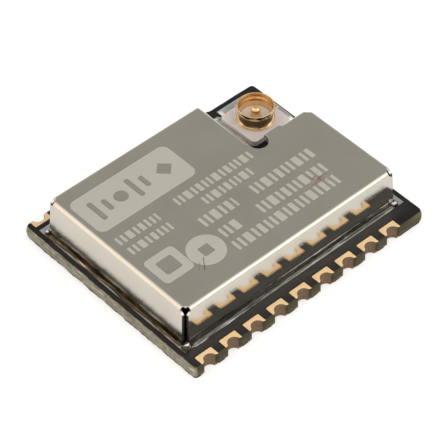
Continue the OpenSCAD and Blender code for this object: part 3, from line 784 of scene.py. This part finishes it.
def inner_openings(g):
    o = contacts(-2.6, 0.9, 5.5 + 2 * g, 8, 0.28 + 2 * g, 0.62 + 2 * g, 0.5)
    o.append(rect(-2.6 - 1.65 - g, 0.9 - 1.65 - g, -2.6 + 1.65 + g, 0.9 + 1.65 + g))
    o += contacts(2.7, -1.8, 3.4 + 2 * g, 4, 0.28 + 2 * g, 0.52 + 2 * g, 0.5)
    o.append(rect(2.7 - 0.85 - g, -1.8 - 0.85 - g, 2.7 + 0.85 + g, -1.8 + 0.85 + g))
    for s in (-1, 1):
        for t in (-1, 1):
            x, y = -3.9 + s * 0.85, -3.2 + t * 0.65
            o.append(rect(x - 0.55 - g, y - 0.45 - g, x + 0.55 + g, y + 0.45 + g))
    for x, y, a in CAPS + RESS + COILS:
        for s in (-1, 1):
            u = s * 0.42
            o.append(turned(u - 0.26 - g, -0.28 - g, u + 0.26 + g, 0.28 + g, x, y, a))
    return o


def land_openings(g):
    o = [rect(x - LAND_W / 2 - g, -HW - 1, x + LAND_W / 2 + g, -HW + FRONT_D + g, 0.07) for x in FX]
    return o + [rect(x - LAND_W / 2 - g, HW - BACK_D - g, x + LAND_W / 2 + g, HW + 1, 0.07) for x in BX]


def can_plan(o):
    """Outline of the can, o outside its faces."""
    return [(-6.85 - o, -4.81 - o), (6.85 + o, -4.81 - o), (6.85 + o, 1.32 + o), (2.9 + o, 1.32 + o), (2.9 + o, 5.12 + o), (-6.85 - o, 5.12 + o)]


def track_openings(g):
    """The ground track's opening as strips, broken for the aerial line."""
    a, b = 0.36 + g, 0.35 + g
    o = [rect(-6.85 - a, -4.81 - a, 6.85 + a, -4.81 + b), rect(-6.85 - a, -4.81 - a, -6.85 + b, 5.12 + a),
         rect(-6.85 - a, 5.12 - b, 2.9 + a, 5.12 + a), rect(6.85 - b, -4.81 - a, 6.85 + a, 1.32 + a),
         rect(2.9 - b, 1.32 - b, 2.9 + a, 5.12 + a), rect(2.9 - b, 1.32 - b, 3.5 - G, 1.32 + a), rect(4.5 + G, 1.32 - b, 6.85 + a, 1.32 + a)]
    return o


def conn_openings(g):
    return [rect(CX + 1.02 - g, CY - 1.1 - g, CX + 1.7 + g, CY + 1.1 + g, 0.07), rect(CX - 1.7 - g, CY - 1.1 - g, CX - 1.02 + g, CY + 1.56 + g, 0.07),
            rect(CX - 0.93 - g, CY + 1.2 - g, CX + 0.93 + g, CY + 1.94 + g, 0.07), rect(CX - 0.5 - g, CY - 1.9 - g, CX + 0.5 + g, CY - 1.12 + g, 0.07)]


def mask_outline(seed):
    j = np.array([fbm(x * 3 + seed, y * 3, 1.3, 3) for x, y in OUT45])
    e = np.clip((-OUT45[:, 0] - 7.35) / 0.12, 0, 1)
    return OUT45 - N45 * (0.022 + 0.012 * j * (1 + 2 * e))[:, None]


def thin(poly, tol=0.004):
    """Drops outline points that lie on a straight run."""
    P = np.asarray(poly)
    keep, last = [0], 0
    for i in range(1, len(P) - 1):
        a, b = P[last], P[i + 1]
        seg = P[last + 1:i + 1]
        ab = b - a
        L = max(np.linalg.norm(ab), 1e-9)
        d = np.abs((seg[:, 0] - a[0]) * ab[1] - (seg[:, 1] - a[1]) * ab[0]) / L
        if d.max() > tol or L > 1.2:
            keep.append(i)
            last = i
    return [tuple(P[i]) for i in keep]


V, F, N = plate([thin(mask_outline(0.0), 0.002)], land_openings(G) + track_openings(G) + conn_openings(G) + inner_openings(G), (), flat(ZT), CU, 0.008)
make("top_mask_film", V, F, [MASK], ["top_solder_mask"], None, N)
V, F, N = plate([thin(mask_outline(4.0), 0.002)], land_openings(G) + [rect(-2.4 - G, -1.9 - G, 2.4 + G, 1.9 + G, 0.2)] + [circle(x, 3.2, 0.45 + G) for x in (-5.6, -4.4, 4.4, 5.6)], (), flat(0.04), CU, 0.008)
make("bottom_mask_film", V, F, [MASK], ["bottom_solder_mask"], None, N)


# ---------------------------------------------------------------- castellated pads
def barrel_surface(x, s):
    yc = s * (HW + HOLE_OUT)
    def S(U, V, RU=None, RV=None):
        a = U / HOLE_R
        # a = 0 is the deepest point of the half-hole
        dx, dy = np.sin(a) * (1 if s < 0 else -1), -s * np.cos(a)
        P = np.stack([x + HOLE_R * dx, yc + HOLE_R * dy, V], 1)
        return P, np.stack([-dx, -dy, np.zeros_like(dx)], 1)
    return S


def pads(name, xs, s, depth, node):
    g = Parts()
    for x in xs:
        y0, y1 = (-HW - 0.3, -HW + depth) if s < 0 else (HW - depth, HW + 0.3)
        w = LAND_W / 2 + 0.004 * rnd.uniform(-1, 1)
        land = rect(x - w, y0, x + w, y1, 0.06)
        hole = circle(x, s * (HW + HOLE_OUT), HOLE_R + 0.012, 72)
        for z, in ((ZT + 0.003,), (CU,)):
            V, F, N = plate([land], [hole], [OUT42.tolist()], flat(z), CU, 0.012)
            g.add(V, F, N, 0)
        a = math.acos(HOLE_OUT / HOLE_R) - 0.10
        u = a * HOLE_R
        lo = -u
        hi = u
        V, F, N = plate([rect(lo, 0.006, hi, 0.792)], (), (), barrel_surface(x, s), 0.03, 0.006, lines=[[(lo + (hi - lo) * k / 20, -0.1), (lo + (hi - lo) * k / 20, 0.9)] for k in range(1, 20)])
        g.add(V, F, N, 1)
    g.make(name, [LAND, BARREL], "gold_plate", [node])


pads("front_castellated_pads", FX, -1, FRONT_D, "front_edge_pads")
pads("back_castellated_pads", BX, 1, BACK_D, "back_edge_pads")


# ---------------------------------------------------------------- folded shield
def fold(s):
    """Sheet past a fold line: how far it runs out, how far it drops, and how far it has turned."""
    s = np.maximum(s, 0)
    a = np.minimum(s / FOLD, LEAN)
    rest = np.maximum(s - ARC, 0)
    return FOLD * np.sin(a) + rest * math.cos(LEAN), FOLD * (1 - np.cos(a)) + rest * math.sin(LEAN), a


def can_surface(U, V, RU=None, RV=None):
    RU, RV = (U, V) if RU is None else (RU, RV)
    lobeA = (RV > 1.31) & (RU < 4.98)
    front_notch = (RU >= 4.98) & ~lobeA
    xr = np.where(lobeA, 2.6, np.where(front_notch | (RV <= 1.31), 6.55, 6.55))
    yb = np.where(lobeA, 4.82, np.where(front_notch, 1.02, 99.0))
    # near a corner a point belongs to the wall it runs farthest down
    dl, dr, df, db = -6.55 - RU, RU - xr, -4.51 - RV, RV - yb
    side, end = np.maximum(dl, dr), np.maximum(df, db)
    ends, sides = (end > 0.13) & (end > side), (side > 0.13) & (side >= end)
    sl, sr = np.where(ends, 0, -6.55 - U), np.where(ends, 0, U - xr)
    sf, sb = np.where(sides, 0, -4.51 - V), np.where(sides, 0, V - yb)
    x, y = U.astype(float).copy(), V.astype(float).copy()
    drop = np.zeros_like(x)
    N = np.tile([0.0, 0.0, 1.0], (len(x), 1))
    for s, ax, sg, at in ((sl, 0, -1, -6.55), (sr, 0, 1, xr), (sf, 1, -1, -4.51), (sb, 1, 1, yb)):
        m = s > 0
        h, d, a = fold(s)
        if ax == 0:
            x = np.where(m, at + sg * h, x)
        else:
            y = np.where(m, at + sg * h, y)
        deeper = m & (d >= drop)
        drop = np.maximum(drop, np.where(m, d, 0))
        v = np.zeros((len(x), 3))
        v[:, ax] = sg * np.sin(a)
        v[:, 2] = np.cos(a)
        N[deeper] = v[deeper]
    return np.stack([x, y, 3.0 - drop], 1), N


def shield():
    E, K = FLANGE, 0.06
    adds = [rect(-6.62, -4.58, 6.62, 1.29), rect(-6.62, 1.2, 2.66, 4.88),
            [(-6.5, -4.625), (-6.5, 4.935), (-7.1, 4.935), (-6.55 - E, 4.935 + K), (-6.55 - E, -4.625 - K), (-7.1, -4.625)],
            [(-6.665, -4.46), (-6.665, -5.06), (-6.665 - K, -4.51 - E), (6.665 + K, -4.51 - E), (6.665, -5.06), (6.665, -4.46)],
            [(6.5, -4.625), (7.1, -4.625), (6.55 + E, -4.625 - K), (6.55 + E, 1.135 + K), (7.1, 1.135), (6.5, 1.135)],
            rect(2.55, 1.33, 2.6 + E, 4.94),
            [(-6.665, 4.77), (2.72, 4.77), (2.72, 4.82 + E), (-6.665 - K, 4.82 + E), (-6.665, 5.37)],
            [(4.99, 0.97), (6.665, 0.97), (6.665, 1.57), (6.665 + K, 1.02 + E), (4.99, 1.02 + E)]]
    subs = [circle(-6.78, -4.74, 0.33, 64), circle(6.78, -4.74, 0.33, 64), circle(-6.78, 5.05, 0.31, 64), circle(6.80, 1.27, 0.38, 64), circle(3.33, 1.16, 0.52, 64)]
    # slits that part the corner flanges, and the cut between the flat edge and the notch's side flange
    subs += [rect(2.72, 4.94, 6.0, 8.0), rect(2.6, 1.292, 3.0, 1.33)]
    lines = []
    for k in range(9):
        s = ARC * k / 8
        lines += [[(-6.55 - s, -4.7), (-6.55 - s, 5.0)], [(6.55 + s, -4.7), (6.55 + s, 1.2)], [(-6.8, -4.51 - s), (6.8, -4.51 - s)],
                  [(-6.8, 4.82 + s), (2.715, 4.82 + s)], [(2.6 + s, 1.335), (2.6 + s, 4.935)], [(4.985, 1.02 + s), (6.8, 1.02 + s)]]
    for x in np.arange(-6.4, 6.5, 0.8):
        lines += [[(x, -7.0), (x, 1.28 if x > 2.5 else 7.3)]]
    for y in np.arange(-4.2, 4.8, 0.8):
        lines += [[(-9.0, y), (9.0 if y < 1.2 else 5.0, y)]]
    for s in (0.9, 1.4, 1.9):
        lines += [[(-6.55 - s, -4.7), (-6.55 - s, 5.0)], [(-6.8, -4.51 - s), (6.8, -4.51 - s)]]
    V, F, N = plate(adds, subs, (), can_surface, SHEET, 0.022, lines)
    P, k, cut = np.asarray(V), 0, []
    for f in F:
        n, c = np.mean(N[k:k + len(f)], 0), P[list(f)].mean(0)
        k += len(f)
        # ends of the walls beside the corner slits, which get the near-black painted shade
        cut.append(int(len(f) == 4 and abs(n[2]) < 0.3 and c[2] < 2.66 and max(abs(n[0]), abs(n[1])) > 0.8))
    make("folded_shield", V, F, [SHEETM, SLIT_SHADE], ["shield_can"], cut, N)


shield()


# ---------------------------------------------------------------- laser marks: plain fields, bars, a square and a disc
def marks():
    g = Parts()
    S = flat(3.0035)
    def put(adds, subs=()):
        V, F, N = plate(adds, list(subs), (), S, 0.0045, 0.0015)
        g.add(V, F, N)
    # large field with plain openings
    cut = [rect(-5.75, 2.15, -5.45, 3.6, 0.14), rect(-5.1, 2.45, -4.8, 3.3, 0.14), circle(-4.1, 2.87, 0.38, 36), rect(-3.4, 2.15, -3.1, 3.6, 0.14),
           rect(-2.75, 2.45, -2.45, 3.3, 0.14), [(-1.85, 2.87), (-1.35, 2.37), (-0.85, 2.87), (-1.35, 3.37)]]
    put([rect(-6.42, 1.56, -0.26, 4.16, 0.42, 10)], cut)
    def row(x0, x1, y, h, w):
        x, k = x0, 0
        while x < x1 - 0.1:
            ww = w * (1.0, 1.0, 2.2, 1.0, 1.6)[k % 5]
            ww = min(ww, x1 - x)
            put([rect(x, y - h / 2, x + ww, y + h / 2, 0.03, 2)])
            x += ww + w * 1.05
            k += 1
    row(-2.45, 2.42, 0.76, 0.54, 0.15)
    row(-1.40, 1.88, -0.09, 0.54, 0.15)
    row(-6.22, -3.68, 0.66, 0.52, 0.15)
    row(-6.18, -3.62, -0.20, 0.52, 0.15)
    row(-2.45, -0.28, -1.10, 0.66, 0.17)
    row(0.82, 4.72, -1.14, 0.66, 0.17)
    row(-2.22, -0.92, -2.24, 0.66, 0.17)
    row(0.20, 4.52, -2.28, 0.66, 0.17)
    row(-2.30, 4.52, -3.28, 0.66, 0.17)
    put([rect(-6.28, -2.95, -4.48, -1.15, 0.25, 6)], [rect(-5.86, -2.53, -4.90, -1.57, 0.12, 4)])
    put([circle(-3.46, -2.52, 0.98, 64)], [rect(-3.78, -2.84, -3.14, -2.20, 0.06, 3)])
    g.make("laser_marked_fields", [ETCH], "shield_sheet")


marks()


# ---------------------------------------------------------------- solder runs
def bead(g, ax, ay, bx, by, ox, oy, width, height, seed, crest=0.4, z0=ZT, back=0.012):
    """A run of solder along a wall from a to b; (ox, oy) points away from the wall."""
    L = math.hypot(bx - ax, by - ay)
    tx, ty = (bx - ax) / L, (by - ay) / L
    n = max(8, int(L / 0.05))
    K = 12
    V, F = [], []
    for i in range(n + 1):
        s = L * i / n
        e = min(1, min(s, L - s) / 0.22)
        e = math.sqrt(max(0, 1 - (1 - e) ** 2)) * 0.88 + 0.12
        t = s / L
        w = (width(t) if callable(width) else width) * (1 + 0.16 * fbm(s * 1.1, seed, 0, 3)) * (0.45 + 0.55 * e)
        h = (height(t) if callable(height) else height) * (1 + 0.3 * fbm(s * 1.5, seed + 9, 0, 3)) * e
        for k in range(K):
            u = k / (K - 1)
            # from the wall out to the foot: a shallow groove, a crest, then a hollow run-out
            z = h * (0.10 + 0.90 * math.sin(min(1, u / crest) * math.pi / 2)) if u < crest else h * (0.5 + 0.5 * math.cos((u - crest) / (1 - crest) * math.pi)) ** 0.85
            d = u * w
            z += fbm(s * 5, u * 3 + seed, 2, 2) * 0.012 * e * (1 - u)
            V.append((ax + tx * s + ox * d, ay + ty * s + oy * d, z0 + max(0.002, z)))
        V.append((ax + tx * s + ox * w * 0.98, ay + ty * s + oy * w * 0.98, z0 - 0.004))
        V.append((ax + tx * s - ox * back, ay + ty * s - oy * back, z0 - 0.004))
        V.append((ax + tx * s - ox * back, ay + ty * s - oy * back, z0 + max(0.004, h * 0.09)))
    m = K + 3
    left = (tx * oy - ty * ox) < 0
    for i in range(n):
        for k in range(m):
            a, b = i * m + k, i * m + (k + 1) % m
            c, d = (i + 1) * m + (k + 1) % m, (i + 1) * m + k
            F.append((a, b, c, d) if left else (a, d, c, b))
    F.append(tuple(range(m)) if not left else tuple(reversed(range(m))))
    F.append(tuple(reversed(range(n * m, n * m + m))) if not left else tuple(range(n * m, n * m + m)))
    g.add(V, F, smooth_normals(V, F, 60))


def mound(g, x0, y0, x1, y1, z0, H, p=4.0, seed=0.0, bumpy=0.1):
    """A low rounded lump of solder over a rectangle."""
    R, A = 9, 48
    cx, cy, ax, ay = (x0 + x1) / 2, (y0 + y1) / 2, (x1 - x0) / 2, (y1 - y0) / 2
    V, F = [(cx, cy, z0 + H * (1 + bumpy * fbm(cx * 3 + seed, cy * 3, 0, 3)))], []
    for r in range(1, R + 1):
        q = r / R
        for k in range(A):
            t = TAU * k / A
            c, s = math.cos(t), math.sin(t)
            rr = (abs(c) ** p + abs(s) ** p) ** (-1 / p)
            x, y = cx + ax * rr * c * q, cy + ay * rr * s * q
            z = H * max(0, 1 - q ** 3) ** 0.6 * (1 + bumpy * fbm(x * 3 + seed, y * 3, 0, 3))
            V.append((x, y, z0 + z))
    for k in range(A):
        V.append((V[1 + (R - 1) * A + k][0], V[1 + (R - 1) * A + k][1], z0 - 0.004))
    V.append((cx, cy, z0 - 0.004))
    last = len(V) - 1
    for k in range(A):
        j = (k + 1) % A
        F.append((0, 1 + k, 1 + j))
        for r in range(R):
            a, b = 1 + r * A + k, 1 + r * A + j
            F.append((a, a + A, b + A, b))
        F.append((1 + R * A + k, last, 1 + R * A + j))
    g.add(V, F, smooth_normals(V, F, 60))


g = Parts()
lerp = lambda a, b, t: a + (b - a) * t
W = FOOT - 0.012
bead(g, -6.72, -4.81 - W, 6.72, -4.81 - W, 0, -1, lambda t: lerp(0.30, 0.20, min(1, t * 1.6)), lambda t: 0.10 + 0.025 * math.sin(t * 9), 1.0, 0.6)
bead(g, -6.85 - W, -4.70, -6.85 - W, 4.98, -1, 0, lambda t: 0.22 + 0.03 * math.sin(t * 21), lambda t: 0.10 + 0.03 * math.sin(t * 17), 2.0, 0.55)
bead(g, -6.66, 5.12 + W, 2.71, 5.12 + W, 0, 1, 0.22, 0.13, 3.0)
bead(g, 6.85 + W, -4.62, 6.85 + W, 1.13, 1, 0, 0.22, 0.12, 4.0)
bead(g, 2.9 + W, 1.52, 2.9 + W, 4.93, 1, 0, 0.22, 0.12, 5.0)
bead(g, 4.99, 1.32 + W, 6.66, 1.32 + W, 0, 1, 0.18, 0.1, 6.0)
mound(g, -7.20, -5.20, -6.66, -4.72, ZT, 0.16, 2.3, 1.0, 0.8)
mound(g, 6.50, -5.18, 6.98, -4.74, ZT, 0.24, 2.2, 2.0, 0.8)
mound(g, -7.17, 4.92, -6.88, 5.20, ZT, 0.20, 2.2, 3.0, 0.6)
g.make("shield_solder_runs", [RUN], "solder", ["shield_solder"])


# ---------------------------------------------------------------- aerial connector
def connector():
    z = ZT
    # ring, turned: waisted wall, plug rim and a flange on the housing
    outer = [(0.79, z + 0.345), (0.985, z + 0.345)] + arc(0.965, z + 0.385, 0.035, -60, 90, 6) + [(0.925, z + 0.425), (0.895, z + 0.45), (0.872, z + 0.52), (0.862, z + 0.6), (0.858, z + 0.7), (0.862, z + 0.8), (0.868, z + 0.88), (0.885, z + 0.95), (0.925, z + 0.985), (0.95, z + 1.0)]
    outer += [(0.96, z + 1.02), (0.96, z + 1.21)] + arc(0.93, z + 1.21, 0.03, 10, 90, 5) + arc(0.915, z + 1.22, 0.02, 90, 180, 4) + [(0.893, z + 1.15), (0.885, z + 1.03), (0.85, z + 0.97), (0.815, z + 0.92), (0.795, z + 0.8), (0.79, z + 0.7)]
    g = Parts()
    V, F = lathe(outer)
    F = [tuple(reversed(f)) for f in F]
    g.add(V, F, orient(V, F, 32))
    h = 1.3
    def strap(x0, y0, z0, x1, y1, z1, b=0.015):
        V, F, N = plate([rect(x0, y0, x1, y1, 0.02, 3)], (), (), flat(z1), z1 - z0, b)
        g.add(V, F, N)
    strap(CX + 0.94, CY - 0.22, z + 0.35, CX + h + 0.07, CY + 0.22, z + 0.42)
    strap(CX + h, CY - 0.22, z + 0.04, CX + h + 0.07, CY + 0.22, z + 0.405)
    strap(CX + h, CY - 0.9, z + 0.04, CX + h + 0.24, CY + 0.9, z + 0.14)
    strap(CX - h - 0.24, CY - 0.9, z + 0.04, CX - h, CY + 0.9, z + 0.14)
    strap(CX - 0.22, CY + 0.94, z + 0.35, CX + 0.22, CY + h + 0.07, z + 0.42)
    strap(CX - 0.22, CY + h, z + 0.04, CX + 0.22, CY + h + 0.07, z + 0.405)
    strap(CX - 0.8, CY + h, z + 0.04, CX + 0.8, CY + h + 0.24, z + 0.14)
    g.make("turned_contact_ring", [CGOLD], "connector_gold", ["connector_shell"])
    # centre pin with its foot
    g = Parts()
    prof = [(0.001, z + 0.3), (0.235, z + 0.3), (0.25, z + 0.32), (0.25, z + 0.85)] + arc(0.0, z + 0.85, 0.25, 18, 88, 10) + [(0.001, z + 1.1)]
    V, F = lathe(prof, 64)
    F = [tuple(reversed(f)) for f in F]
    g.add(V, F, orient(V, F, 40))
    V, F, N = plate([rect(CX - 0.3, CY - h - 0.24, CX + 0.3, CY - h + 0.02, 0.03, 3)], (), (), flat(z + 0.14), 0.1, 0.015)
    g.add(V, F, N)
    g.make("domed_centre_contact", [CGOLD], "connector_gold", ["connector_pin"])
    # moulded base: square block, and the raised floor inside the ring
    g = Parts()
    V, F, N = plate([rect(CX - h, CY - h, CX + h, CY + h, 0.26, 9)], (), (), flat(z + 0.35), 0.35, 0.035)
    g.add(V, F, N)
    prof = [(0.252, z + 0.33), (0.785, z + 0.33), (0.785, z + 0.49), (0.775, z + 0.5), (0.27, z + 0.5), (0.252, z + 0.485)]
    V, F = lathe(prof, 72)
    F = [tuple(reversed(f)) for f in F]
    g.add(V, F, orient(V, F, 30))
    g.make("moulded_connector_base", [MOULD], "connector_moulding", ["connector_housing"])
    # solder on the feet
    g = Parts()
    mound(g, CX + h - 0.06, CY - 1.10, CX + h + 0.38, CY + 1.08, z, 0.20, 9, 1.0, 0.08)
    mound(g, CX - h - 0.38, CY - 1.08, CX - h + 0.06, CY + 1.5, z, 0.20, 8, 2.0, 0.15)
    mound(g, CX - 0.90, CY + h - 0.06, CX + 0.90, CY + h + 0.60, z, 0.17, 9, 3.0, 0.08)
    mound(g, CX - 0.46, CY - h - 0.56, CX + 0.46, CY - h + 0.05, z, 0.18, 5, 4.0, 0.2)
    mound(g, 4.10, 5.18, 4.56, 5.46, z, 0.17, 2.3, 5.0, 0.3)
    g.make("connector_solder_joints", [SOLDER], "solder", ["connector_solder"])


def orient(V, F, angle):
    """Turns a closed form's faces outwards in place, then gives corner normals."""
    P = np.asarray(V, float)
    vol = 0.0
    for f in F:
        p = P[list(f)]
        for k in range(1, len(f) - 1):
            vol += float(np.dot(p[0], np.cross(p[k], p[k + 1])))
    if vol < 0:
        F[:] = [tuple(reversed(f)) for f in F]
    return smooth_normals(V, F, angle)


connector()

# ---------------------------------------------------------------- carried-over parts
for node, mat in {"shield_ground_track": SOLDER, "connector_lands": SOLDER, "processor_body": EPOXY, "processor_contacts": TIN, "amplifier_body": EPOXY,
                  "amplifier_contacts": TIN, "crystal_base": DARKC, "crystal_lid": LIDM, "capacitor_bodies": TANC, "capacitor_ends": TIN,
                  "resistor_bodies": DARKC, "resistor_ends": TIN, "coil_bodies": COILC, "coil_ends": TIN, "component_lands": LAND,
                  "component_solder": SOLDER, "bottom_lands": LAND}.items():
    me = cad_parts[node].data
    if len(me.materials) == 0:
        me.materials.append(mat)
    for i in range(len(me.materials)):
        me.materials[i] = mat

# ---------------------------------------------------------------- floor, light and camera
def floor():
    n, s = 24, 0.6
    V = [(s * (i / n - 0.5), s * (j / n - 0.5), 0.0) for j in range(n + 1) for i in range(n + 1)]
    F = [(j * (n + 1) + i, j * (n + 1) + i + 1, (j + 1) * (n + 1) + i + 1, (j + 1) * (n + 1) + i) for j in range(n) for i in range(n)]
    me = bpy.data.meshes.new("studio_floor")
    me.from_pydata(V, [], F)
    ob = bpy.data.objects.new("studio_floor", me)
    bpy.context.scene.collection.objects.link(ob)
    m = Mat("pale_paper", (0.62, 0.62, 0.62), 0.9)
    n1 = m.noise(0.05, 2, 0.5)
    m.color(m.ramp(n1, (0.3, (0.60, 0.60, 0.60)), (0.7, (0.62, 0.62, 0.62))))
    m.b.inputs["Specular IOR Level"].default_value = 0.0
    m.b.inputs["Emission Color"].default_value = (1, 1, 1, 1)
    m.b.inputs["Emission Strength"].default_value = 0.52
    me.materials.append(m.m)


floor()

world = bpy.data.worlds.new("studio")
bpy.context.scene.world = world
world.use_nodes = True
nt = world.node_tree
bg = nt.nodes["Background"]
tc = nt.nodes.new("ShaderNodeTexCoord")


def lobe(direction, inner, outer):
    """1 within inner degrees of a direction, 0 beyond outer."""
    d = nt.nodes.new("ShaderNodeVectorMath")
    d.operation = "DOT_PRODUCT"
    d.inputs[1].default_value = Vector(direction).normalized()
    nt.links.new(tc.outputs["Generated"], d.inputs[0])
    r = nt.nodes.new("ShaderNodeMapRange")
    r.interpolation_type = "SMOOTHSTEP"
    r.inputs[1].default_value = math.cos(math.radians(outer))
    r.inputs[2].default_value = math.cos(math.radians(inner))
    nt.links.new(d.outputs["Value"], r.inputs[0])
    return r.outputs[0]


def wmix(fac, a, b):
    n = nt.nodes.new("ShaderNodeMix")
    n.data_type = "RGBA"
    nt.links.new(fac, n.inputs[0])
    for k, v in ((6, a), (7, b)):
        if isinstance(v, bpy.types.NodeSocket):
            nt.links.new(v, n.inputs[k])
        else:
            n.inputs[k].default_value = (*v, 1)
    return n.outputs[2]


c = wmix(lobe((0.464, 0.511, 0.723), 16, 46), (1.02, 1.0, 0.965), (0.445, 0.44, 0.425))
c = wmix(lobe((0.72, 0.66, 0.12), 18, 48), c, (0.50, 0.49, 0.47))
c = wmix(lobe((-0.723, 0.511, 0.464), 12, 34), c, (1.65, 1.5, 1.3))
nt.links.new(c, bg.inputs["Color"])
bg.inputs["Strength"].default_value = 1.0


def softbox(name, direction, dist, size, power, color=(1, 1, 1)):
    li = bpy.data.lights.new(name, "AREA")
    li.shape = "RECTANGLE"
    li.size, li.size_y = size
    li.energy = power
    li.color = color
    ob = bpy.data.objects.new(name, li)
    bpy.context.scene.collection.objects.link(ob)
    d = Vector(direction).normalized()
    ob.location = d * dist
    ob.rotation_euler = d.to_track_quat("Z", "Y").to_euler()
    return ob


softbox("key_softbox", (0.42, -0.66, 0.62), 0.32, (0.30, 0.20), 0.21, (1.0, 0.96, 0.9))

a, e, roll, D = math.radians(-42.215), math.radians(46.331), math.radians(-0.328), 0.11415
back = Vector((math.sin(a) * math.cos(e), -math.cos(a) * math.cos(e), math.sin(e)))
right = Vector((math.cos(a), math.sin(a), 0))
up = back.cross(right)
r2 = right * math.cos(roll) + up * math.sin(roll)
u2 = up * math.cos(roll) - right * math.sin(roll)
cam = bpy.data.cameras.new("camera")
cam.lens, cam.sensor_width, cam.sensor_fit = 188.04, 36.0, "HORIZONTAL"
cam.clip_start, cam.clip_end = 0.005, 5.0
co = bpy.data.objects.new("camera", cam)
bpy.context.scene.collection.objects.link(co)
t = Vector((-0.000308, -0.000299, 0.0008))
co.matrix_world = Matrix.Translation(t + back * D) @ Matrix((r2, u2, back)).transposed().to_4x4()
bpy.context.scene.camera = co
bpy.context.scene.view_settings.view_transform = "Standard"
